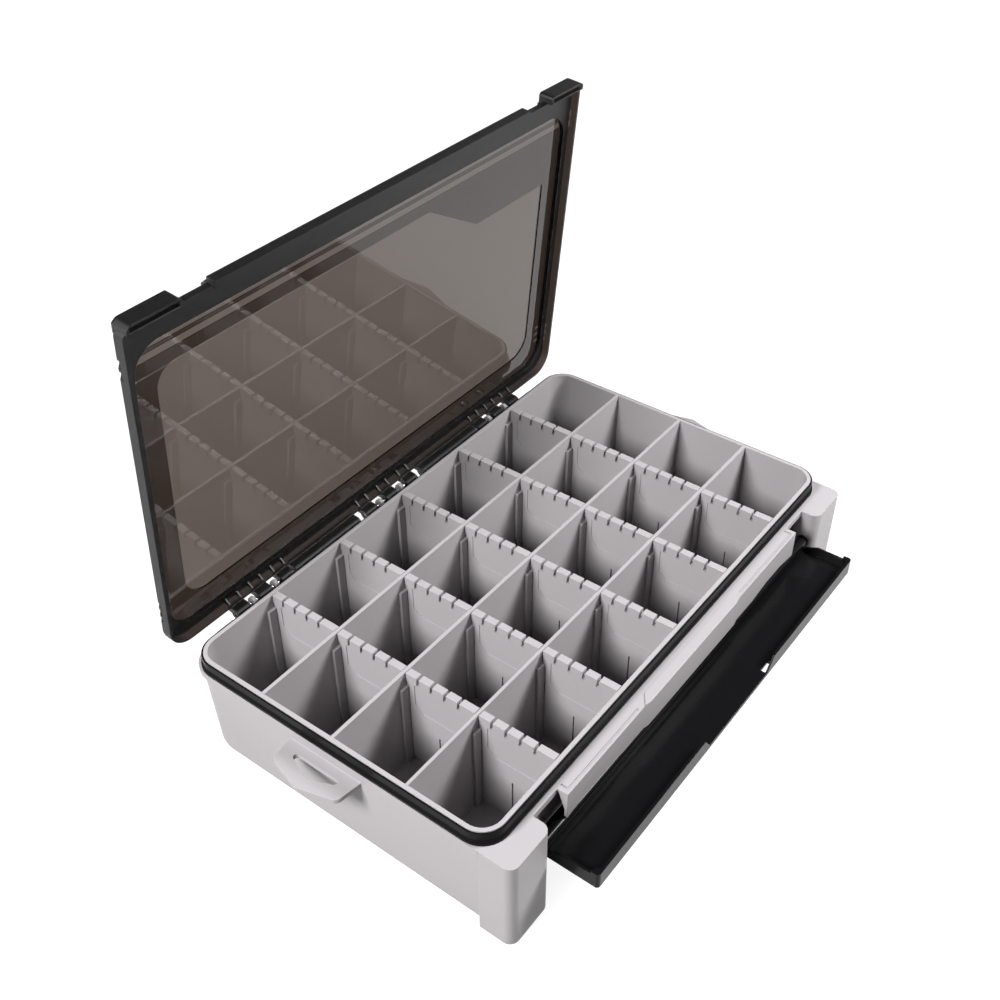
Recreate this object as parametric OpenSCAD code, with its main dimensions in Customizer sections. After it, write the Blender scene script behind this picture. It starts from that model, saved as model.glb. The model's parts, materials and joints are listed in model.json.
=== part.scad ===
// Tackle storage box: a moulded tub with fixed partitions and lift-out dividers,
// a sealing ring, a hinged see-through lid and a full-width swing-down latch.
// Frame: X along the hinge line, Y from the latch (-) to the hinge (+), Z up.
// Origin: middle of the tub's footprint, on the surface it stands on.
// The lid and the latch are drawn open, which is how the box is stored in this file.

/* [Tub] */
// Length of the space inside the tub
inner_l = 330; // [260:5:420]
// Width of the space inside the tub
inner_w = 191; // [150:1:250]
// Height of the tub's rim above the ground
rim_h = 70; // [56:1:90]
// Thickness of the rim that stands up inside the seal
rim_t = 2.4; // [1.8:0.1:3.2]
// Radius of the inside corners
corner_r = 11; // [6:0.5:16]
// Thickness of the floor
floor_t = 2.4; // [1.8:0.1:4]
// How far the side walls lean in from seat to ground
side_draft = 2.1; // [0.5:0.1:3]
// Radius of the rounded edge round the tub's bottom
bottom_r = 6; // [3:0.5:8]

/* [Seat under the lid] */
// Drop from the rim to the seat that carries the seal
seat_drop = 8.5; // [7:0.5:12]
// Width of the seat outside the rim, on the short sides
seat_side = 2.1; // [1.5:0.1:4]
// Width of the seat outside the rim, on the long sides
seat_long = 4.4; // [3.5:0.1:6]
// Height of the seat's overhanging edge on the long sides
seat_lip = 4.2; // [3:0.1:6]
// How far the long walls stand back behind that edge
wall_back = 3.8; // [2:0.1:5]

/* [Partitions and ribs] */
// Number of bins across the width
bins_y = 4; // [3:1:5]
// Number of divider rows along the length
rows_x = 5; // [3:1:6]
// Thickness of the fixed partition walls
wall_t = 2; // [1.5:0.1:3]
// Width of each guide rib beside a divider
rib_w = 5.3; // [3:0.1:7]
// How far a guide rib stands out of its wall
rib_out = 1.8; // [1.2:0.1:2.5]
// Drop from the rim to the top of the ribs
rib_drop = 9; // [7.5:0.5:14]

/* [Dividers] */
// Thickness of a divider's plate
plate_t = 2; // [1.4:0.1:3]
// Thickness of the toothed band along its top
band_t = 4.4; // [3:0.1:6]
// How far the band is set off towards the divider's right face
band_shift = 0.8; // [0:0.1:1]
// Height of the toothed band
band_h = 6; // [4:0.5:8]
// Number of hook notches in the band
notches = 4; // [2:1:6]
// Distance from one notch to the next
notch_pitch = 8.9; // [6:0.1:10]
// Distance from the hinge end of the divider to the first notch
notch_first = 8; // [5:0.1:9]
// Width of a notch
notch_w = 1.6; // [1.2:0.1:3]
// Radius of the round hole at the foot of a notch
notch_hole_r = 1.1; // [0.8:0.1:1.6]
// Depth of the notch hole's centre below the rim
notch_depth = 4.4; // [3:0.1:5]
// Depth of the shallow step in the plate's face
step_deep = 0.4; // [0.2:0.1:0.7]
// Drop from the rim to the step's lower edge
step_drop = 26; // [18:1:34]
// Distance from the floor to the foot of the break-out slit
slit_foot = 4.6; // [3:0.1:10]
// Drop from the rim to the top of the slit
slit_drop = 38; // [30:1:44]
// Distance from the hinge end of the divider to the slit
slit_in = 20.8; // [12:0.1:26]
// Width of the slit
slit_w = 0.8; // [0.5:0.1:1.5]

/* [Corner pillars and apron] */
// How far the pillars stand out in front of the seat
pillar_front = 11.2; // [9:0.1:14]
// Width of a pillar along the front
pillar_w = 31.2; // [26:0.1:38]
// Length of a pillar along the side
pillar_l = 20; // [16:1:26]
// Radius of a pillar's standing corners
pillar_r = 5.5; // [3:0.5:7]
// How far a pillar stands out beyond the side wall
pillar_out = 0.3; // [0.1:0.1:1.5]
// Wall thickness of a pillar, which is hollow from below
pillar_wall = 3.4; // [2.4:0.1:4.5]
// Gap between a pillar and the apron
apron_gap = 19.7; // [14:0.1:24]
// How far the apron stands out in front of the seat
apron_out = 6.4; // [5.2:0.1:7.2]
// Drop from the seat to the top of the two hollows in the apron's lower edge
apron_h = 15.5; // [11:0.5:17]
// Wall thickness of the apron
apron_t = 1.9; // [1.4:0.1:2.2]
// Half length of the raised pad in the apron's middle
pad_half = 49.5; // [30:0.5:60]
// How far the pad stands out of the apron's front
pad_out = 0.9; // [0.3:0.1:1.4]

/* [Lanyard ears] */
// Reach of an ear from the side wall
ear_out = 20.9; // [14:0.1:26]
// Length of an ear where it meets the wall
ear_l = 48; // [36:1:60]
// Thickness of an ear
ear_t = 3; // [2:0.1:5]
// Drop from the rim to the top of an ear
ear_drop = 15; // [14:0.5:24]
// Place of the ears' middle along the side
ear_y = 2.5; // [-10:0.5:10]
// Width of the material round an ear's slot
ear_rim = 6.5; // [5:0.1:8]

/* [Hinge] */
// Distance of the hinge axis behind the rim
hinge_back = 8.6; // [8:0.1:10]
// Drop from the rim to the hinge axis
hinge_drop = 7.5; // [6:0.1:9]
// Radius of the hinge knuckles
knuckle_r = 3.2; // [2.6:0.1:3.6]
// Radius of the hinge pins
pin_r = 1.2; // [0.8:0.1:1.6]
// Width of a hinge lug on the tub
lug_w = 2.5; // [2:0.1:3.5]
// Width of an inner knuckle on the lid
knuckle_w = 9.6; // [8:0.1:11]
// Distance from one lug to the next
lug_pitch = 17; // [15:0.5:20]
// Distance of the outer hinges from the ends of the inside space
hinge_in = 57.3; // [40:0.1:75]

/* [Lid] */
// How far the lid is opened as drawn
lid_open = 84.4; // [60:0.1:100]
// Half length of the lid beyond the half length of the rim
lid_side = 3.6; // [3:0.1:5]
// Distance from the rim to the lid's front face
lid_front = 3.2; // [2.9:0.1:3.6]
// Thickness of the lid's side walls
lid_wall = 1.7; // [1.3:0.1:2]
// Height of the lid's side walls below the rim
lid_skirt = 4; // [3:0.1:5]
// Height of the lid's top face above the rim
lid_top = 5; // [4:0.1:7]
// Size of the sloped edge round the lid
lid_chamfer = 3; // [1.5:0.1:3.2]
// Radius of the lid's corners at the hinge
lid_corner = 14; // [8:0.5:18]
// Clearance between the rim and the lid over it
lid_clear = 0.5; // [0.3:0.1:1]
// Height above the rim of the lid's inner face
panel_up = 3.2; // [2:0.1:3.4]
// Depth of the window recess in that face
window_deep = 0.7; // [0.3:0.1:1]
// Width of the border between the window and the step round it
window_edge = 13.5; // [8:0.5:20]
// Length of the plain label field at the window's corner
field_l = 65.3; // [40:0.1:90]
// Depth of the grooves in the lid's top
groove_deep = 0.7; // [0.3:0.1:1]
// Width of each of the two long grooves along the front
band_w = 4.2; // [2:0.1:6]
// Distance from one long groove to the next
band_pitch = 6.2; // [5:0.1:9]
// Distance from the lid's front face to the first long groove
band_front = 16.1; // [14:0.1:20]
// Width of each short groove at the lid's sides
grip_w = 3.1; // [1.5:0.1:4]
// Distance from one short groove to the next
grip_pitch = 5.4; // [3:0.1:8]
// Length of a short groove on the lid's top
grip_l = 9.4; // [5:0.1:14]
// Distance from the lid's back to the short grooves
grip_back = 21; // [16:0.5:40]
// How far the catch ridge stands out of the lid's front
ridge_out = 2.4; // [1.5:0.1:2.6]
// Height of the catch ridge
ridge_h = 6.1; // [3:0.1:6.2]
// Length of a lid ear over a pillar
lid_ear_l = 31.2; // [20:0.1:34]
// How far a lid ear stands out of the lid's front
lid_ear_out = 4.1; // [3:0.1:6.5]
// Wall thickness of a lid ear, which is hollow from below
lid_ear_t = 1.5; // [1.2:0.1:2]
// Size of the deeper slope between the ears and the catch ridge
notch_slope = 5.2; // [3.2:0.1:5.4]

/* [Latch] */
// Height of the latch pivot below the rim
latch_drop = 30; // [29:0.5:36]
// Distance of the latch pivot in front of the seat
latch_out = 3.8; // [3.2:0.1:4.8]
// Radius of the latch's barrel
barrel_r = 3.3; // [2.8:0.1:3.6]
// How far the shut latch sits behind the front of the pillars
panel_set = 0.7; // [0.2:0.1:1.2]
// Thickness of the latch's panel
panel_t = 2.3; // [1.8:0.1:2.6]
// Reach of the hook's inner face from the pivot
hook_reach = 31.3; // [31.2:0.1:32]
// Thickness of the hook lip
hook_t = 1.8; // [1.4:0.1:2.2]
// How far the hook lip reaches past the pivot's height
hook_up = 3.6; // [3:0.1:4]
// Height above the pivot of the latch's end walls
end_up = 1.5; // [0:0.1:2]
// Half length of the finger scoop in the hook lip
scoop_half = 37.7; // [24:0.1:50]

/* [Seal] */
// Drop from the rim to the top of the seal's inner lip
seal_drop = 0.6; // [0.4:0.1:2]
// Height of the seal's foot on the seat
seal_foot = 2.9; // [2:0.1:3.2]
// Thickness of the seal's inner lip
seal_lip = 1.1; // [0.8:0.1:1.2]

/* [Clearances] */
// Gap between a divider and the walls at its ends
divider_gap = 0.3; // [0.2:0.05:0.6]
// Gap on each side of a divider's plate between its ribs
slot_gap = 0.2; // [0.1:0.05:0.4]
// Gap between the seal and the rim it is stretched over
seal_gap = 0.05; // [0.02:0.01:0.1]
// Gap between a hinge pin and its lugs
pin_gap = 0.02; // [0.01:0.01:0.05]
// Running gap between a hinge pin and the lid's knuckles
knuckle_gap = 0.06; // [0.03:0.01:0.1]
// Running gap between the latch's barrel and its sockets
socket_gap = 0.06; // [0.03:0.01:0.1]
// Gap between the latch's ends and the pillars
latch_gap = 1.6; // [0.4:0.1:2.5]
// Gap between the lid ears and the pillars under them
ear_gap = 2.3; // [0.3:0.1:3]
// Gap between moving faces that pass each other
pass_gap = 0.3; // [0.2:0.05:0.6]

/* [Hidden] */
$fn = 48;
eps = 0.01;

// Tub faces
half_l = inner_l / 2;
half_w = inner_w / 2;
rim_x = half_l + rim_t;
rim_y = half_w + rim_t;
side_x = rim_x + seat_side;
seat_y = rim_y + seat_long;
wall_y = seat_y - wall_back;
seat_z = rim_h - seat_drop;
wall_top = seat_z - seat_lip;
rim_r = corner_r + rim_t;
side_r = rim_r + seat_side;
long_draft = min(side_draft, wall_y - half_w - floor_t);

// Bins: partitions and divider rows
bin_y = inner_w / bins_y;
row_pitch = inner_l / (rows_x + 1);
slot_w = plate_t + 2 * slot_gap;
rib_top = rim_h - rib_drop;
partition_y = [for (k = [1:bins_y - 1]) half_w - k * bin_y];
row_x = [for (k = [1:rows_x]) -half_l + k * row_pitch];

// Pillars and apron
pillar_x1 = side_x + pillar_out;
pillar_x0 = pillar_x1 - pillar_w;
pillar_y = seat_y + pillar_front;
apron_x = pillar_x0 - apron_gap;
apron_y = seat_y + apron_out;
socket_rim = 0.6;
socket_sink = 0.6;

// Hinge
hinge_y = rim_y + hinge_back;
hinge_z = rim_h - hinge_drop;
hinge_x = half_l - hinge_in;
knuckle_top = 5.6;
shelf_top = hinge_z - knuckle_r - pass_gap;
shelf_end = 19.3;
shelf_half = hinge_x + lug_pitch + shelf_end;
shelf_t = 3;
pin_short = 0.6;
lug_x = [hinge_x - lug_pitch / 2, hinge_x + lug_pitch / 2];
middle_gap = 3.25;
middle_lug_x = (knuckle_w + lug_w) / 2 + middle_gap;
knuckle_step = lug_pitch;
middle_step = 2 * middle_lug_x;
bar_x0 = middle_step + knuckle_w / 2 + 6;
bar_x1 = hinge_x - knuckle_step - knuckle_w / 2 - 1.9;

// Lid, as closed
lid_x = rim_x + lid_side;
lid_y0 = -rim_y - lid_front;
lid_back = 2.5;
lid_y1 = hinge_y - lid_back;
skirt_z = rim_h - lid_skirt;
lid_z = rim_h + lid_top;
ring_z = rim_h + lid_clear;
panel_z = rim_h + panel_up;
window_z = panel_z + window_deep;
ring_in = 0.2;
lid_ear_in = 1;
ring_x = half_l - ring_in;
ring_front = 9.5;
ring_back = 1.5;
ring_y0 = -half_w + ring_front;
ring_y1 = half_w + ring_back;
window_front = 18;
window_back = 14;
window_x = ring_x - window_edge;
window_y0 = ring_y0 + window_front;
window_y1 = ring_y1 - window_back;

// Latch, as open: offsets from its pivot
latch_y = seat_y + latch_out;
latch_z = rim_h - latch_drop;
latch_x = pillar_x0 - latch_gap;
ridge_top = latch_z + hook_reach - 2 * pass_gap + 0.2;
panel_out = pillar_y - latch_y - panel_set;
panel_in = panel_out - panel_t;
stop_y = latch_y - wall_y - pass_gap;
apron_low = latch_z + barrel_r + pass_gap;
tip_y = hook_reach + hook_t;
lip_r = 2;
corner_y = tip_y - 5;
end_t = 1.6;
knee_y = 11.5;
knee_z = 2.4;
slot_in = 1.2;
slot_w_y = 2.8;
slot_x0 = scoop_half - 6.7;
slot_x1 = scoop_half + 2;
scoop_slope = 7.5;

// A straight-sided slab with its own corner radius at the front and at the back
module slab(x, y0, y1, z0, z1, r_front, r_back) {
    r = [r_front, r_back];
    y = [y0 + r_front, y1 - r_back];
    translate([-x, y[0], z0]) cube([2 * x, y[1] - y[0], z1 - z0]);
    translate([-x + r_front, y0, z0]) cube([2 * (x - r_front), r_front, z1 - z0]);
    translate([-x + r_back, y[1], z0]) cube([2 * (x - r_back), r_back, z1 - z0]);
    for (i = [0, 1], s = [-1, 1])
        translate([s * (x - r[i]), y[i], z0]) cylinder(r = r[i], h = z1 - z0);
}

// The same slab, one thin layer of it, as the corners of a hull
module layer(x, y0, y1, z, r_front, r_back) {
    for (s = [-1, 1]) {
        translate([s * (x - r_front), y0 + r_front, z]) cylinder(r = r_front, h = eps, $fn = 32);
        translate([s * (x - r_back), y1 - r_back, z]) cylinder(r = r_back, h = eps, $fn = 32);
    }
}

// A block given by its two corners
module block(a, b) {
    translate(a) cube(b - a);
}

// A pair, mirrored left and right
module both_ends() {
    children();
    mirror([1, 0, 0]) children();
}

// A profile in Y and Z, drawn out along X
module along_x(x0, x1) {
    translate([x0, 0, 0]) rotate([90, 0, 90]) linear_extrude(x1 - x0) children();
}

// Tub ---------------------------------------------------------------------

// Outer skin below the seat, with leaning walls and a rounded bottom edge
module tub_skin() {
    front_r = 6;
    hull() {
        for (a = [0, 30, 60, 90]) {
            in = bottom_r * (1 - sin(a));
            layer(side_x - side_draft - in, -wall_y + long_draft + in, wall_y - long_draft - in,
                  bottom_r * (1 - cos(a)), max(1, front_r - in), side_r - in);
        }
        layer(side_x, -wall_y, wall_y, wall_top, front_r, side_r);
    }
}

// Seat that carries the seal, square at the pillars and round at the hinge
module seat() {
    slab(side_x, -seat_y, seat_y, wall_top, seat_z, 1, side_r);
    slab(rim_x, -rim_y, rim_y, wall_top, rim_h, rim_r, rim_r);
}

// The clear space of the bins, one channel between each pair of partitions
module bin_space() {
    for (k = [0:bins_y - 1]) {
        y1 = half_w - k * bin_y - (k == 0 ? 0 : wall_t / 2);
        y0 = half_w - (k + 1) * bin_y + (k == bins_y - 1 ? 0 : wall_t / 2);
        slab(half_l, y0, y1, floor_t, rim_h + 1,
             k == bins_y - 1 ? corner_r : eps, k == 0 ? corner_r : eps);
    }
}

// One guide rib on each side of a divider, on both faces of a channel wall
module ribs() {
    for (x = row_x, s = [-1, 1]) {
        x0 = s > 0 ? x + slot_w / 2 : x - slot_w / 2 - rib_w;
        for (y = partition_y)
            block([x0, y - wall_t / 2 - rib_out, floor_t - eps],
                  [x0 + rib_w, y + wall_t / 2 + rib_out, rib_top]);
        for (f = [-1, 1])
            block([x0, f > 0 ? half_w - rib_out : -half_w - eps, floor_t - eps],
                  [x0 + rib_w, f > 0 ? half_w + eps : -half_w + rib_out, rib_top]);
    }
}

// Right-hand corner pillar with its hollow and the socket for the latch barrel
module pillar() {
    difference() {
        union() {
            block([pillar_x0, -pillar_y + pillar_r, 0],
                  [pillar_x1, -pillar_y + pillar_l, seat_z]);
            block([pillar_x0 + pillar_r, -pillar_y, 0],
                  [pillar_x1 - pillar_r, -pillar_y + pillar_r + eps, seat_z]);
            for (x = [pillar_x0 + pillar_r, pillar_x1 - pillar_r])
                translate([x, -pillar_y + pillar_r, 0]) cylinder(r = pillar_r, h = seat_z);
        }
        block([pillar_x0 + pillar_wall, -pillar_y + pillar_wall, -1],
              [pillar_x1 - pillar_wall, -wall_y + eps, seat_z - pillar_wall]);
        translate([pillar_x0 - 1, -latch_y, latch_z]) rotate([0, 90, 0])
            cylinder(r = barrel_r + socket_gap, h = pillar_wall + 2);
        translate([pillar_x0 - 1, -latch_y, latch_z]) rotate([0, 90, 0])
            cylinder(r = barrel_r + socket_rim, h = 1 + socket_sink);
    }
}

// Shallow box-shaped shelf between the pillars that the latch closes against
module apron() {
    hollow_z = seat_z - apron_h;
    slope = 17;
    hollow_x = pad_half + 36;
    block([-apron_x, -apron_y, seat_z - apron_t], [apron_x, -seat_y + eps, seat_z]);
    rotate([90, 0, 0]) translate([0, 0, apron_y - apron_t]) linear_extrude(apron_t)
        polygon([[-apron_x, seat_z], [-apron_x, apron_low], [-apron_x + slope, hollow_z],
                 [-hollow_x, hollow_z], [-hollow_x + slope, apron_low],
                 [hollow_x - slope, apron_low], [hollow_x, hollow_z],
                 [apron_x - slope, hollow_z], [apron_x, apron_low], [apron_x, seat_z]]);
    for (s = [-1, 1])
        along_x(s > 0 ? apron_x - apron_t : -apron_x, s > 0 ? apron_x : -apron_x + apron_t)
            polygon([[-apron_y + eps, seat_z - eps], [-seat_y + eps, seat_z - eps],
                     [-apron_y + eps, apron_low + eps]]);
    pad();
}

// Raised pad in the middle of the apron, with slanted ends
module pad() {
    back_y = -seat_y - 1.5;
    front_y = -apron_y - pad_out;
    translate([0, 0, apron_low]) linear_extrude(seat_z + 0.5 - apron_low)
        polygon([[-pad_half, -apron_y + eps], [-pad_half + 4, front_y], [pad_half - 4, front_y],
                 [pad_half, -apron_y + eps]]);
    translate([0, 0, seat_z - eps]) linear_extrude(0.5 + eps)
        polygon([[-pad_half, -apron_y], [-pad_half + 7, back_y], [pad_half - 7, back_y],
                 [pad_half, -apron_y]]);
}

// Groove along the apron's top from the pad to its end, where it turns back to the seat
module apron_groove() {
    deep = 0.6;
    wide = 1.2;
    y = -(seat_y + apron_y) / 2 - wide / 2;
    end = apron_x - 2.6;
    block([pad_half + 3.8, y - wide, seat_z - deep], [end, y, seat_z + 1]);
    block([end - wide, y - wide, seat_z - deep], [end, -seat_y, seat_z + 1]);
}

// Shelf behind the seat with the lugs that hold the hinge pins
module hinge_shelf() {
    block([-shelf_half, wall_y - 3, shelf_top - shelf_t], [shelf_half, hinge_y, shelf_top]);
    both_ends()
        block([shelf_half - 12, seat_y - eps, shelf_top - eps], [shelf_half, hinge_y, seat_z - 0.5]);
    for (x = concat(lug_x, -lug_x, [-middle_lug_x, middle_lug_x]))
        translate([x - lug_w / 2, 0, 0]) {
            translate([0, hinge_y, hinge_z]) rotate([0, 90, 0]) cylinder(r = knuckle_r, h = lug_w);
            block([0, seat_y - eps, shelf_top - eps], [lug_w, hinge_y, hinge_z]);
            block([0, hinge_y - eps, shelf_top - shelf_t], [lug_w, hinge_y + knuckle_r, hinge_z]);
        }
}

// Flat pointed ear with a long slot, on the right side wall
module lanyard_ear() {
    r = 4;
    root = side_x - side_draft - 0.5;
    reach = side_x + ear_out;
    shoulder = reach - 5;
    half = ear_l / 2;
    slot_r = 1.9;
    slot_x = side_x + 5.2;
    translate([0, ear_y, rim_h - ear_drop - ear_t]) difference() {
        hull() {
            translate([root, -half, 0]) cube([1, ear_l, ear_t]);
            for (s = [-1, 1])
                translate([shoulder - r, s * (half - 2 - r), 0]) cylinder(r = r, h = ear_t);
            translate([reach - r, 0, 0]) cylinder(r = r, h = ear_t);
        }
        hull() {
            for (s = [-1, 1]) {
                y = s * (half - 2 - ear_rim - slot_r - 1);
                translate([slot_x + slot_r, y, -1]) cylinder(r = slot_r, h = ear_t + 2);
            }
            translate([reach - ear_rim - slot_r, 0, -1]) cylinder(r = slot_r, h = ear_t + 2);
        }
    }
}

module tub() {
    color([0.79, 0.77, 0.78]) difference() {
        union() {
            difference() {
                union() {
                    tub_skin();
                    seat();
                    both_ends() pillar();
                    hinge_shelf();
                }
                bin_space();
            }
            ribs();
            apron();
            both_ends() lanyard_ear();
        }
        both_ends() apron_groove();
        hinge_bores(pin_r + pin_gap);
    }
}

// Bores along the hinge axis, one through each group of knuckles
module hinge_bores(r) {
    for (x = [-hinge_x, 0, hinge_x])
        translate([x - pin_half(x) - 4, hinge_y, hinge_z]) rotate([0, 90, 0])
            cylinder(r = r, h = 2 * pin_half(x) + 8);
}

// Half length of the pin of the hinge at x
function pin_half(x) = (x == 0 ? middle_step : knuckle_step) + knuckle_w / 2 - pin_short;

module hinge_pin(x) {
    color([0.72, 0.73, 0.75]) translate([x - pin_half(x), hinge_y, hinge_z]) rotate([0, 90, 0])
        cylinder(r = pin_r, h = 2 * pin_half(x));
}

module hinge_pin_left() { hinge_pin(-hinge_x); }
module hinge_pin_middle() { hinge_pin(0); }
module hinge_pin_right() { hinge_pin(hinge_x); }

// Seal --------------------------------------------------------------------

// Ring stretched over the rim: a foot on the seat and a lip up the rim
module seal_ring() {
    g = seal_gap;
    foot = seat_side - 0.1;
    color([0.06, 0.06, 0.065]) difference() {
        union() {
            slab(rim_x + foot, -rim_y - foot, rim_y + foot, seat_z, seat_z + seal_foot - 1,
                 rim_r + foot, rim_r + foot);
            slab(rim_x + foot - 0.5, -rim_y - foot + 0.5, rim_y + foot - 0.5, seat_z,
                 seat_z + seal_foot, rim_r + foot - 0.5, rim_r + foot - 0.5);
            slab(rim_x + seal_lip, -rim_y - seal_lip, rim_y + seal_lip, seat_z,
                 rim_h - seal_drop, rim_r + seal_lip, rim_r + seal_lip);
        }
        slab(rim_x + g, -rim_y - g, rim_y + g, seat_z - 1, rim_h + 1, rim_r + g, rim_r + g);
    }
}

// Lid, drawn closed and then turned open about the hinge ------------------

module lid_shell() {
    front_r = 4;
    difference() {
        hull() {
            layer(lid_x, lid_y0, lid_y1, skirt_z, front_r, lid_corner);
            layer(lid_x, lid_y0, lid_y1, lid_z - lid_chamfer, front_r, lid_corner);
            layer(lid_x - lid_chamfer, lid_y0 + lid_chamfer, lid_y1 - lid_chamfer, lid_z - eps,
                  front_r, lid_corner - lid_chamfer);
        }
        slab(lid_x - lid_wall, lid_y0 + lid_wall, lid_y1 - lid_wall, skirt_z - 1, ring_z,
             front_r - lid_wall, lid_corner - lid_wall);
        slab(ring_x, ring_y0, ring_y1, skirt_z - 1, panel_z, 16, 16);
        window();
        both_ends() {
            notch();
            for (k = [0, 1]) {
                y = lid_y0 + band_front + k * band_pitch;
                lid_groove(-1, y, y + band_w);
            }
            for (k = [0:2]) {
                y = lid_y1 - grip_back - k * grip_pitch;
                lid_groove(lid_x - grip_l, y - grip_w, y);
            }
        }
    }
}

// Shallow groove in the top that wraps over the side edge, from x0 outwards
module lid_groove(x0, y0, y1) {
    top = lid_z - groove_deep;
    side = lid_x - groove_deep;
    ease = groove_deep * 0.42;
    low = skirt_z + 4;
    translate([0, y1, 0]) rotate([90, 0, 0]) linear_extrude(y1 - y0)
        polygon([[x0, lid_z + 1], [x0, top], [lid_x - lid_chamfer - ease, top],
                 [side, lid_z - lid_chamfer - ease], [side, low], [lid_x + 1, low],
                 [lid_x + 1, lid_z + 1]]);
}

// Deeper slope along the front edge, between an ear and the catch ridge
module notch() {
    y = lid_y0 - eps;
    along_x(apron_x, lid_x - lid_ear_in - lid_ear_l + 1)
        polygon([[y, lid_z + 1], [y, lid_z - notch_slope], [lid_y0 + notch_slope, lid_z + eps],
                 [lid_y0 + notch_slope, lid_z + 1]]);
}

// Shallow recess of the window, cut short at one corner for a plain label field
module window() {
    field_x = window_x - field_l;
    field_y = window_y0 + 26;
    difference() {
        slab(window_x, window_y0, window_y1, panel_z - 1, window_z, 12, 14);
        translate([0, 0, panel_z - 2]) linear_extrude(window_deep + 4)
            polygon([[field_x - 46, window_y0 - 1], [field_x, field_y], [window_x + 1, field_y],
                     [window_x + 1, window_y0 - 1]]);
    }
}

// Catch ridge along the front, which the latch hooks over
module lid_ridge() {
    block([-apron_x, lid_y0 - ridge_out, ridge_top - ridge_h],
          [apron_x, lid_y0 + lid_wall, ridge_top]);
}

// Ear over the right-hand pillar, with its hollow facing down
module lid_ear() {
    low = seat_z + ear_gap;
    top = lid_z - 1.5;
    x1 = lid_x - lid_ear_in;
    x0 = x1 - lid_ear_l;
    y0 = lid_y0 - lid_ear_out;
    y1 = lid_y0 + 0.7;
    t = lid_ear_t;
    difference() {
        intersection() {
            hull() {
                translate([x0 + 2, y0 + 2, low]) cylinder(r = 2, h = top - low);
                translate([x1 - 4, y0 + 4, low]) cylinder(r = 4, h = top - low);
                block([x0, y0 + 2, low], [x1, lid_y0 + 3, top]);
            }
            union() {
                block([x0, y0, low], [x1, y1, top]);
                block([x0, y0, ring_z + 0.5], [x1, lid_y0 + 3, top]);
            }
        }
        block([x0 + t, y0 + t, low - 1], [x1 - t, lid_y0 - 0.2, top - t]);
    }
}

// Knuckles and blank bars along the hinge edge
module knuckles() {
    for (x = [-hinge_x, hinge_x], k = [-1, 0, 1]) knuckle(x + k * knuckle_step, knuckle_w, knuckle_r);
    for (k = [-1, 0, 1]) knuckle(k * middle_step, knuckle_w, knuckle_r);
    for (s = [-1, 1]) knuckle(s * (bar_x0 + bar_x1) / 2, bar_x1 - bar_x0, knuckle_r);
}

module knuckle(x, w, r) {
    translate([x - w / 2, 0, 0]) {
        translate([0, hinge_y, hinge_z]) rotate([0, 90, 0]) cylinder(r = r, h = w);
        block([0, hinge_y - r, hinge_z], [w, hinge_y + 0.6, hinge_z + knuckle_top]);
        block([0, lid_y1 - 1, skirt_z], [w, hinge_y, hinge_z + knuckle_top]);
    }
}

// Small webs that stiffen the back wall at the ends of each knuckle
module gussets() {
    leg = 2.6;
    for (x = concat([for (h = [-hinge_x, hinge_x], k = [-1, 0, 1]) h + k * knuckle_step],
                    [for (k = [-1, 0, 1]) k * middle_step]), s = [-1, 1])
        along_x(x + s * (knuckle_w / 2 - 0.7) - 0.7, x + s * (knuckle_w / 2 - 0.7) + 0.7)
            polygon([[lid_y1 - lid_wall + eps, ring_z + eps], [lid_y1 - lid_wall - leg, ring_z + eps],
                     [lid_y1 - lid_wall + eps, ring_z - 3.6]]);
}

module lid_closed() {
    difference() {
        union() {
            lid_shell();
            lid_ridge();
            both_ends() lid_ear();
            knuckles();
            gussets();
        }
        hinge_bores(pin_r + knuckle_gap);
    }
}

module lid() {
    color([0.30, 0.28, 0.27, 0.75])
        translate([0, hinge_y, hinge_z]) rotate([-lid_open, 0, 0])
            translate([0, -hinge_y, -hinge_z]) lid_closed();
}

// Latch, drawn swung down flat --------------------------------------------

module latch() {
    color([0.09, 0.09, 0.095]) translate([0, -latch_y, latch_z]) difference() {
        union() {
            translate([-pillar_x0 - pillar_wall + 0.2, 0, 0]) rotate([0, 90, 0])
                cylinder(r = barrel_r, h = 2 * (pillar_x0 + pillar_wall - 0.2));
            block([-latch_x + lip_r, -tip_y, -panel_out], [latch_x - lip_r, stop_y, -panel_in]);
            block([-latch_x, -tip_y + lip_r, -panel_out], [latch_x, stop_y, -panel_in]);
            block([-latch_x, -3, -panel_out], [latch_x, 3, 0]);
            both_ends() {
                hook_lip();
                translate([latch_x - lip_r, -tip_y + lip_r, -panel_out])
                    cylinder(r = lip_r, h = panel_out + hook_up);
                along_x(latch_x - end_t, latch_x)
                    polygon([[-tip_y + lip_r, -panel_out], [-tip_y + lip_r, hook_up],
                             [-corner_y, hook_up], [-corner_y, end_up], [-knee_y, end_up],
                             [-barrel_r, -knee_z], [-barrel_r, -panel_out]]);
            }
        }
        block([slot_x0, -tip_y + slot_in, -panel_out - 1],
              [slot_x1, -tip_y + slot_in + slot_w_y, hook_up + 1]);
    }
}

// Half of the hook lip, with a slanted end at the finger scoop
module hook_lip() {
    rotate([90, 0, 0]) translate([0, 0, hook_reach]) linear_extrude(hook_t)
        polygon([[scoop_half - scoop_slope, -panel_out], [scoop_half, hook_up],
                 [latch_x - lip_r, hook_up], [latch_x - lip_r, -panel_out]]);
}

// Dividers ----------------------------------------------------------------

// Ends of column c's clear space, from the hinge side
function bin_y1(c) = half_w - (c - 1) * bin_y - (c == 1 ? 0 : wall_t / 2);
function bin_y0(c) = half_w - c * bin_y + (c == bins_y ? 0 : wall_t / 2);

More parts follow.
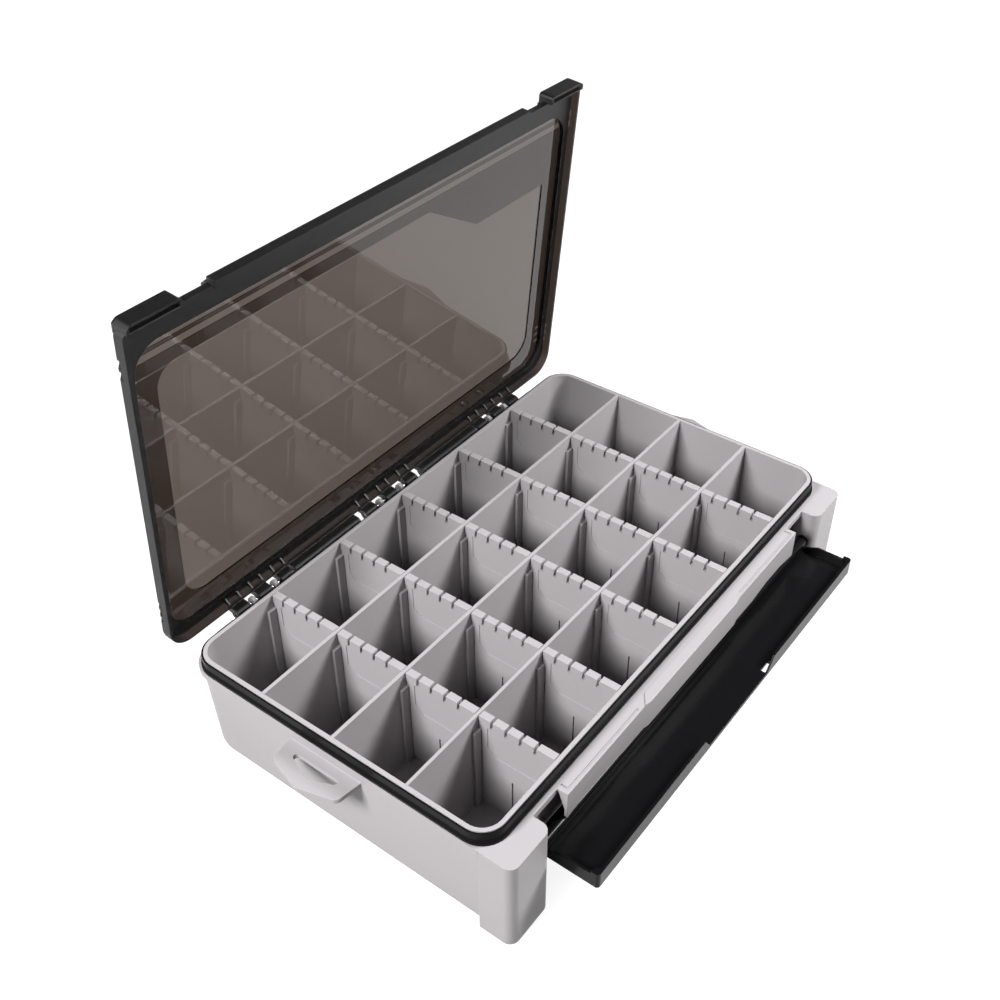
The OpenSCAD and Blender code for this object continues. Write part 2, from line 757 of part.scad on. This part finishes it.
// Lift-out divider in row r, column c
module divider(r, c) {
    y1 = bin_y1(c) - divider_gap;
    y0 = bin_y0(c) + divider_gap;
    len = y1 - y0;
    notch_y = [for (k = [0:notches - 1]) y1 - notch_first - k * notch_pitch];
    color([0.77, 0.76, 0.77]) translate([row_x[r - 1], 0, 0]) difference() {
        union() {
            block([-plate_t / 2, y0, floor_t], [plate_t / 2, y1, rim_h]);
            block([band_shift - band_t / 2, y0, rim_h - band_h],
                  [band_shift + band_t / 2, y1, rim_h]);
        }
        for (y = notch_y) {
            if (y - notch_w > y0) {
                block([-band_t, y - notch_w / 2, rim_h - notch_depth],
                      [band_t, y + notch_w / 2, rim_h + 1]);
                translate([-band_t, y, rim_h - notch_depth]) rotate([0, 90, 0])
                    cylinder(r = notch_hole_r, h = 2 * band_t);
            }
        }
        face_step(y0, y1);
        slit_z = rim_h - slit_drop;
        block([-band_t, y1 - slit_in - slit_w / 2, floor_t + slit_foot],
              [band_t, y1 - slit_in + slit_w / 2, slit_z]);
    }
}

// Shallow step in the left face, ending in a slanted corner at the hinge side
module face_step(y0, y1) {
    margin = 5.1;
    top = rim_h - band_h;
    low = rim_h - step_drop;
    translate([-plate_t / 2 - 1, 0, 0]) rotate([90, 0, 90]) linear_extrude(1 + step_deep)
        polygon([[y0 - 1, top], [y0 - 1, low], [y1 - margin - 5.3, low], [y1 - margin, low + 4.7],
                 [y1 - margin, top]]);
}

tub();
seal_ring();
lid();
latch();
hinge_pin_left();
hinge_pin_middle();
hinge_pin_right();
for (r = [1:rows_x], c = [1:bins_y])
    divider(r, c);
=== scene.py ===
# Tackle storage box: looks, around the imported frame.
import bmesh
import bpy
import json
import math
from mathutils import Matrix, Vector

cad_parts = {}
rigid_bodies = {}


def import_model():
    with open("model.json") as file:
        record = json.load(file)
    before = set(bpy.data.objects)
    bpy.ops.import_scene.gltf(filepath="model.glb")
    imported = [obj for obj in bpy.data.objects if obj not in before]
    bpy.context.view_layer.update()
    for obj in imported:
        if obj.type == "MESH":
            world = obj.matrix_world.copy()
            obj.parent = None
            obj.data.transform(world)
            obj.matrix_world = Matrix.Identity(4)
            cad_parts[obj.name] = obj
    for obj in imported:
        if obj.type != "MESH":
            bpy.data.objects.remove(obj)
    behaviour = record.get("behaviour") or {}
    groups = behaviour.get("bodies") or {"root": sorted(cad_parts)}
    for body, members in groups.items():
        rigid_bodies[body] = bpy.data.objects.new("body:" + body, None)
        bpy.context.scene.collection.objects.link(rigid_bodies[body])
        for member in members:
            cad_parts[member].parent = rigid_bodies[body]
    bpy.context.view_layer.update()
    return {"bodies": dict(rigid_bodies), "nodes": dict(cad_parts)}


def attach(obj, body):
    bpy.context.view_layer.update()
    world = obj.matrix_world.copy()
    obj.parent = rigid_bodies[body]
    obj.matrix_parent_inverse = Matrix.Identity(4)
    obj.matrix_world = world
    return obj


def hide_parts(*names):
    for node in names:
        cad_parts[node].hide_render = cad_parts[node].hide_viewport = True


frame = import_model()
scene = bpy.context.scene
MM = 0.001
WHITE = (1, 1, 1, 1)

# Camera ------------------------------------------------------------------

EYE = Vector((-0.42966, -0.30655, 0.54481))
EYE_TURN_DEG = (50.605, 0.345, -52.924)
LENS_MM = 44.6838
SENSOR_MM = 36

camera_data = bpy.data.cameras.new("eye")
camera_data.lens = LENS_MM
camera_data.sensor_width = SENSOR_MM
camera_data.sensor_fit = "HORIZONTAL"
camera = bpy.data.objects.new("eye", camera_data)
camera.location = EYE
camera.rotation_euler = [math.radians(turn) for turn in EYE_TURN_DEG]
scene.collection.objects.link(camera)
scene.camera = camera
scene.view_settings.view_transform = "Standard"

# Node tools --------------------------------------------------------------

# A Mix node's sockets share their names, so they are told apart by number.
MIX_FACTOR = 0
FLOAT_A, FLOAT_B, FLOAT_OUT = 2, 3, 0
COLOR_A, COLOR_B, COLOR_OUT = 6, 7, 2


def put(tree, kind, **settings):
    """Adds a node. Each setting goes to the input of that name, or else to the node's own property."""
    node = tree.nodes.new(kind)
    for key, value in settings.items():
        if key in node.inputs:
            node.inputs[key].default_value = value
        else:
            setattr(node, key, value)
    return node


def put_range(tree, source, target, **settings):
    """Adds a Map Range node from one pair of limits to another."""
    node = put(tree, "ShaderNodeMapRange", **settings)
    node.inputs["From Min"].default_value, node.inputs["From Max"].default_value = source
    node.inputs["To Min"].default_value, node.inputs["To Max"].default_value = target
    return node


def wire(tree, *pairs):
    """Links each pair of an output and an input."""
    for source, target in pairs:
        tree.links.new(source, target)


class Group:
    """A shader node group with named sockets."""

    def __init__(self, name, inputs, outputs):
        self.tree = bpy.data.node_groups.new(name, "ShaderNodeTree")
        for label, kind, value in inputs:
            socket = self.tree.interface.new_socket(label, in_out="INPUT", socket_type=kind)
            socket.default_value = value
        for label, kind in outputs:
            self.tree.interface.new_socket(label, in_out="OUTPUT", socket_type=kind)
        self.start = self.tree.nodes.new("NodeGroupInput").outputs
        self.end = self.tree.nodes.new("NodeGroupOutput").inputs


def grain_group():
    """Fine moulded grain: a height for the bump and a mask that breaks up the gloss."""
    g = Group("mould_grain", [("Scale", "NodeSocketFloat", 2500.0), ("Detail", "NodeSocketFloat", 3.0)],
              [("Height", "NodeSocketFloat"), ("Mask", "NodeSocketFloat")])
    place = put(g.tree, "ShaderNodeTexCoord")
    fine = put(g.tree, "ShaderNodeTexNoise", Roughness=0.6)
    broad = put(g.tree, "ShaderNodeTexNoise", Scale=18.0, Detail=4.0, Roughness=0.55)
    wire(g.tree,
         (place.outputs["Object"], fine.inputs["Vector"]),
         (place.outputs["Object"], broad.inputs["Vector"]),
         (g.start["Scale"], fine.inputs["Scale"]),
         (g.start["Detail"], fine.inputs["Detail"]),
         (fine.outputs["Fac"], g.end["Height"]),
         (broad.outputs["Fac"], g.end["Mask"]))
    return g.tree


def tone_group():
    """Slow change of tone over a moulding, with slight flow marks."""
    g = Group("mould_tone", [("Base", "NodeSocketColor", (0.5, 0.5, 0.5, 1)),
                             ("Shade", "NodeSocketColor", (0.4, 0.4, 0.4, 1)),
                             ("Amount", "NodeSocketFloat", 0.2)], [("Color", "NodeSocketColor")])
    place = put(g.tree, "ShaderNodeTexCoord")
    cloud = put(g.tree, "ShaderNodeTexNoise", Scale=9.0, Detail=3.0, Roughness=0.5)
    flow = put(g.tree, "ShaderNodeTexNoise", Scale=70.0, Detail=5.0, Roughness=0.65, Distortion=0.6)
    both = put(g.tree, "ShaderNodeMath", operation="MULTIPLY")
    scaled = put(g.tree, "ShaderNodeMath", operation="MULTIPLY")
    mix = put(g.tree, "ShaderNodeMix", data_type="RGBA")
    wire(g.tree,
         (place.outputs["Object"], cloud.inputs["Vector"]),
         (place.outputs["Object"], flow.inputs["Vector"]),
         (cloud.outputs["Fac"], both.inputs[0]),
         (flow.outputs["Fac"], both.inputs[1]),
         (both.outputs[0], scaled.inputs[0]),
         (g.start["Amount"], scaled.inputs[1]),
         (scaled.outputs[0], mix.inputs[MIX_FACTOR]),
         (g.start["Base"], mix.inputs[COLOR_A]),
         (g.start["Shade"], mix.inputs[COLOR_B]),
         (mix.outputs[COLOR_OUT], g.end["Color"]))
    return g.tree


# Materials ---------------------------------------------------------------

GRAIN = grain_group()
TONE = tone_group()
GRAIN_HEIGHT = 0.05 * MM


def material(name, base, shade, amount, rough, grain_scale, grain_depth, **shader):
    """A moulded plastic or metal: toned colour, gloss broken up by a mask, and grain as bump."""
    mat = bpy.data.materials.new(name)
    mat.use_nodes = True
    tree = mat.node_tree
    tree.nodes.clear()
    out = put(tree, "ShaderNodeOutputMaterial")
    bsdf = put(tree, "ShaderNodeBsdfPrincipled")
    for key, value in shader.items():
        bsdf.inputs[key.replace("_", " ")].default_value = value
    tone = put(tree, "ShaderNodeGroup", node_tree=TONE)
    tone.inputs["Base"].default_value = (*base, 1)
    tone.inputs["Shade"].default_value = (*shade, 1)
    tone.inputs["Amount"].default_value = amount
    grain = put(tree, "ShaderNodeGroup", node_tree=GRAIN)
    grain.inputs["Scale"].default_value = grain_scale
    gloss = put_range(tree, (0, 1), rough)
    wire(tree,
         (bsdf.outputs[0], out.inputs["Surface"]),
         (tone.outputs["Color"], bsdf.inputs["Base Color"]),
         (grain.outputs["Mask"], gloss.inputs["Value"]),
         (gloss.outputs["Result"], bsdf.inputs["Roughness"]))
    if grain_depth > 0:
        bump = put(tree, "ShaderNodeBump", Strength=grain_depth, Distance=GRAIN_HEIGHT)
        wire(tree,
             (grain.outputs["Height"], bump.inputs["Height"]),
             (bump.outputs["Normal"], bsdf.inputs["Normal"]))
    return mat


GREY = material(
    "grey_plastic", base=(0.345, 0.329, 0.339), shade=(0.31, 0.295, 0.304), amount=0.6,
    rough=(0.44, 0.58), grain_scale=2600, grain_depth=0.25)
DIVIDER = material(
    "divider_plastic", base=(0.345, 0.329, 0.339), shade=(0.31, 0.297, 0.304), amount=0.5,
    rough=(0.40, 0.52), grain_scale=3200, grain_depth=0.18)
SMOKED = material(
    "smoked_plastic", base=(0.90, 0.87, 0.85), shade=(0.86, 0.83, 0.81), amount=0.5,
    rough=(0.0, 0.012), grain_scale=60, grain_depth=0, Transmission_Weight=1.0, IOR=1.49)
BLACK = material(
    "black_plastic", base=(0.004, 0.004, 0.0045), shade=(0.008, 0.008, 0.0085), amount=0.6,
    rough=(0.14, 0.26), grain_scale=1800, grain_depth=0.12, Specular_IOR_Level=0.10)
RUBBER = material(
    "seal_rubber", base=(0.005, 0.005, 0.0055), shade=(0.010, 0.010, 0.0105), amount=0.7,
    rough=(0.20, 0.32), grain_scale=1400, grain_depth=0.10, Specular_IOR_Level=0.05)
STEEL = material(
    "pin_steel", base=(0.62, 0.62, 0.63), shade=(0.50, 0.50, 0.51), amount=0.6,
    rough=(0.18, 0.34), grain_scale=2200, grain_depth=0.15, Metallic=1.0)
FINISH = {"grey_plastic": GREY, "divider_plastic": DIVIDER, "smoked_plastic": SMOKED,
          "black_plastic": BLACK, "seal_rubber": RUBBER, "pin_steel": STEEL}

HINGE = Vector((0, 106.5 * MM, 62.5 * MM))
LID_TURN = math.radians(84.4)
RIM_LEVEL = 72.8 * MM
RIM_BLEND = 0.3 * MM
RIM_ROUGH = 0.5
SMOKE_COLOR = (0.30, 0.24, 0.20, 1)
SMOKE_DENSITY = 2200.0


def satin_rim(mat):
    """Makes the open lid duller on its thick rim, which lies below RIM_LEVEL when the lid is shut."""
    tree = mat.node_tree
    rough = tree.nodes["Principled BSDF"].inputs["Roughness"]
    up = Vector((0, math.sin(LID_TURN), math.cos(LID_TURN)))
    edge = up.dot(HINGE) + RIM_LEVEL - HINGE.z
    place = put(tree, "ShaderNodeTexCoord")
    height = put(tree, "ShaderNodeVectorMath", operation="DOT_PRODUCT")
    height.inputs[1].default_value = up
    mask = put_range(tree, (edge - RIM_BLEND, edge + RIM_BLEND), (0, 1))
    mix = put(tree, "ShaderNodeMix", data_type="FLOAT")
    mix.inputs[FLOAT_A].default_value = RIM_ROUGH
    wire(tree,
         (place.outputs["Object"], height.inputs[0]),
         (height.outputs["Value"], mask.inputs["Value"]),
         (mask.outputs["Result"], mix.inputs[MIX_FACTOR]),
         (rough.links[0].from_socket, mix.inputs[FLOAT_B]),
         (mix.outputs[FLOAT_OUT], rough))


def fill_with_smoke(mat):
    """Darkens what is seen through the plastic, the more the thicker it is."""
    tree = mat.node_tree
    smoke = put(tree, "ShaderNodeVolumeAbsorption", Color=SMOKE_COLOR, Density=SMOKE_DENSITY)
    wire(tree, (smoke.outputs[0], tree.nodes["Material Output"].inputs["Volume"]))


satin_rim(SMOKED)
fill_with_smoke(SMOKED)

# Pieces ------------------------------------------------------------------

MERGE_GAP = 0.002 * MM
FLAT_ANGLE = math.radians(0.6)
BEVEL_ANGLE = math.radians(35)
BEVEL_SEGMENTS = 2
LEAST_LENGTH = 1.5
LEAST_FACE = 2.2
SHARP_ANGLE = math.radians(40)


def merged(node):
    """The CAD node's mesh as one closed bmesh, its flat faces joined up again."""
    bm = bmesh.new()
    bm.from_mesh(frame["nodes"][node].data)
    bmesh.ops.remove_doubles(bm, verts=bm.verts, dist=MERGE_GAP)
    bmesh.ops.dissolve_limit(bm, angle_limit=FLAT_ANGLE, use_dissolve_boundaries=False,
                             verts=bm.verts, edges=bm.edges, delimit=set())
    return bm


def turns_by(edge, angle):
    """Whether the two faces at an edge meet at more than this angle."""
    return len(edge.link_faces) == 2 and edge.calc_face_angle(0) > angle


def wide_enough(edge, width):
    """Whether an edge is long enough, and its faces wide enough, for a bevel of this width."""
    length = edge.calc_length()
    return length > LEAST_LENGTH * width and all(
        face.calc_area() / length > LEAST_FACE * width for face in edge.link_faces)


def ease(bm, width):
    """Rounds the sharp edges a little, as on a moulding."""
    edges = [e for e in bm.edges if turns_by(e, BEVEL_ANGLE) and wide_enough(e, width)]
    bmesh.ops.bevel(bm, geom=edges, offset=width, offset_type="OFFSET", segments=BEVEL_SEGMENTS,
                    profile=0.5, affect="EDGES", clamp_overlap=False, loop_slide=False, material=-1)


def moulded(name, node, body, slot, width):
    """A piece with the CAD node's shape, eased edges and its finish, on its body."""
    bm = merged(node)
    ease(bm, width)
    for face in bm.faces:
        face.smooth = True
    for edge in bm.edges:
        if turns_by(edge, SHARP_ANGLE):
            edge.smooth = False
    mesh = bpy.data.meshes.new(name)
    bm.to_mesh(mesh)
    bm.free()
    obj = bpy.data.objects.new(name, mesh)
    scene.collection.objects.link(obj)
    obj.data.materials.append(FINISH[slot])
    even = obj.modifiers.new("even_normals", "WEIGHTED_NORMAL")
    even.keep_sharp = True
    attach(obj, body)
    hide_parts(node)


moulded("tub_shell", "tub", "tub", "grey_plastic", 0.3 * MM)
moulded("seal", "seal_ring", "tub", "seal_rubber", 0.2 * MM)
moulded("lid_shell", "lid", "lid", "smoked_plastic", 0.25 * MM)
moulded("latch_bar", "latch", "latch", "black_plastic", 0.25 * MM)
for body in frame["bodies"]:
    if body.startswith("divider"):
        moulded(body + "_plate", body, body, "divider_plastic", 0.2 * MM)
for side in ("left", "middle", "right"):
    pin = frame["nodes"]["hinge_pin_" + side]
    pin.data.materials.clear()
    pin.data.materials.append(STEEL)

# Floor -------------------------------------------------------------------

FLOOR_HALF = 6
FLOOR_COLOR = (0.22, 0.22, 0.22, 1)
GLOW_REACH = (0.25, 0.90)
GLOW_LEVEL = (0.89, 1.0)


def floor_material():
    """A matt floor that also glows for the eye, glass and gloss, a little less around the object."""
    mat = bpy.data.materials.new("floor_white")
    mat.use_nodes = True
    tree = mat.node_tree
    tree.nodes.clear()
    out = put(tree, "ShaderNodeOutputMaterial")
    matt = put(tree, "ShaderNodeBsdfDiffuse", Color=FLOOR_COLOR)
    glow = put(tree, "ShaderNodeEmission", Color=WHITE)
    add = put(tree, "ShaderNodeAddShader")
    path = put(tree, "ShaderNodeLightPath")
    seen = put(tree, "ShaderNodeMath", operation="MAXIMUM")
    any_seen = put(tree, "ShaderNodeMath", operation="MAXIMUM")
    level = put(tree, "ShaderNodeMath", operation="MULTIPLY")
    place = put(tree, "ShaderNodeTexCoord")
    away = put(tree, "ShaderNodeVectorMath", operation="LENGTH")
    rise = put_range(tree, GLOW_REACH, GLOW_LEVEL, interpolation_type="SMOOTHSTEP")
    wire(tree,
         (path.outputs["Is Camera Ray"], seen.inputs[0]),
         (path.outputs["Is Transmission Ray"], seen.inputs[1]),
         (seen.outputs[0], any_seen.inputs[0]),
         (path.outputs["Is Glossy Ray"], any_seen.inputs[1]),
         (place.outputs["Object"], away.inputs[0]),
         (away.outputs["Value"], rise.inputs["Value"]),
         (any_seen.outputs[0], level.inputs[0]),
         (rise.outputs["Result"], level.inputs[1]),
         (level.outputs[0], glow.inputs["Strength"]),
         (matt.outputs[0], add.inputs[0]),
         (glow.outputs[0], add.inputs[1]),
         (add.outputs[0], out.inputs["Surface"]))
    return mat


floor_bm = bmesh.new()
bmesh.ops.create_grid(floor_bm, x_segments=1, y_segments=1, size=FLOOR_HALF)
floor_mesh = bpy.data.meshes.new("floor")
floor_bm.to_mesh(floor_mesh)
floor_bm.free()
floor = bpy.data.objects.new("floor", floor_mesh)
scene.collection.objects.link(floor)
floor.data.materials.append(floor_material())

# Room --------------------------------------------------------------------

ROOM_LEVEL = 0.008
BACKDROP_LEVEL = 1.0
SKY_HEIGHT = (0.22, 0.50)
SKY_LEVEL = (1.0, 0.06)


def studio():
    """A dark room whose backdrop is white to the eye, and to glass and gloss only low down."""
    world = bpy.data.worlds.new("studio")
    world.use_nodes = True
    tree = world.node_tree
    tree.nodes.clear()
    out = put(tree, "ShaderNodeOutputWorld")
    room = put(tree, "ShaderNodeBackground", Color=WHITE, Strength=ROOM_LEVEL)
    backdrop = put(tree, "ShaderNodeBackground", Color=WHITE, Strength=BACKDROP_LEVEL)
    both = put(tree, "ShaderNodeMixShader")
    path = put(tree, "ShaderNodeLightPath")
    place = put(tree, "ShaderNodeTexCoord")
    axis = put(tree, "ShaderNodeSeparateXYZ")
    fade = put_range(tree, SKY_HEIGHT, SKY_LEVEL)
    through = put(tree, "ShaderNodeMath", operation="MAXIMUM")
    low = put(tree, "ShaderNodeMath", operation="MULTIPLY")
    share = put(tree, "ShaderNodeMath", operation="MAXIMUM")
    wire(tree,
         (place.outputs["Object"], axis.inputs[0]),
         (axis.outputs["Z"], fade.inputs["Value"]),
         (path.outputs["Is Glossy Ray"], through.inputs[0]),
         (path.outputs["Is Transmission Ray"], through.inputs[1]),
         (through.outputs[0], low.inputs[0]),
         (fade.outputs["Result"], low.inputs[1]),
         (low.outputs[0], share.inputs[0]),
         (path.outputs["Is Camera Ray"], share.inputs[1]),
         (share.outputs[0], both.inputs[0]),
         (room.outputs[0], both.inputs[1]),
         (backdrop.outputs[0], both.inputs[2]),
         (both.outputs[0], out.inputs["Surface"]))
    return world


scene.world = studio()

# Lamps -------------------------------------------------------------------

AIM = Vector((0, 0, 0.05))


def softbox(name, place, size, power):
    """A large square lamp that faces the object."""
    data = bpy.data.lights.new(name, "AREA")
    data.shape = "SQUARE"
    data.size = size
    data.energy = power
    lamp = bpy.data.objects.new(name, data)
    lamp.location = place
    lamp.rotation_euler = (AIM - Vector(place)).to_track_quat("-Z", "Y").to_euler()
    scene.collection.objects.link(lamp)


softbox("left_box", (-0.95, 0.15, 0.83), size=0.36, power=25)
softbox("right_box", (0.36, -0.50, 0.57), size=0.26, power=9.6)
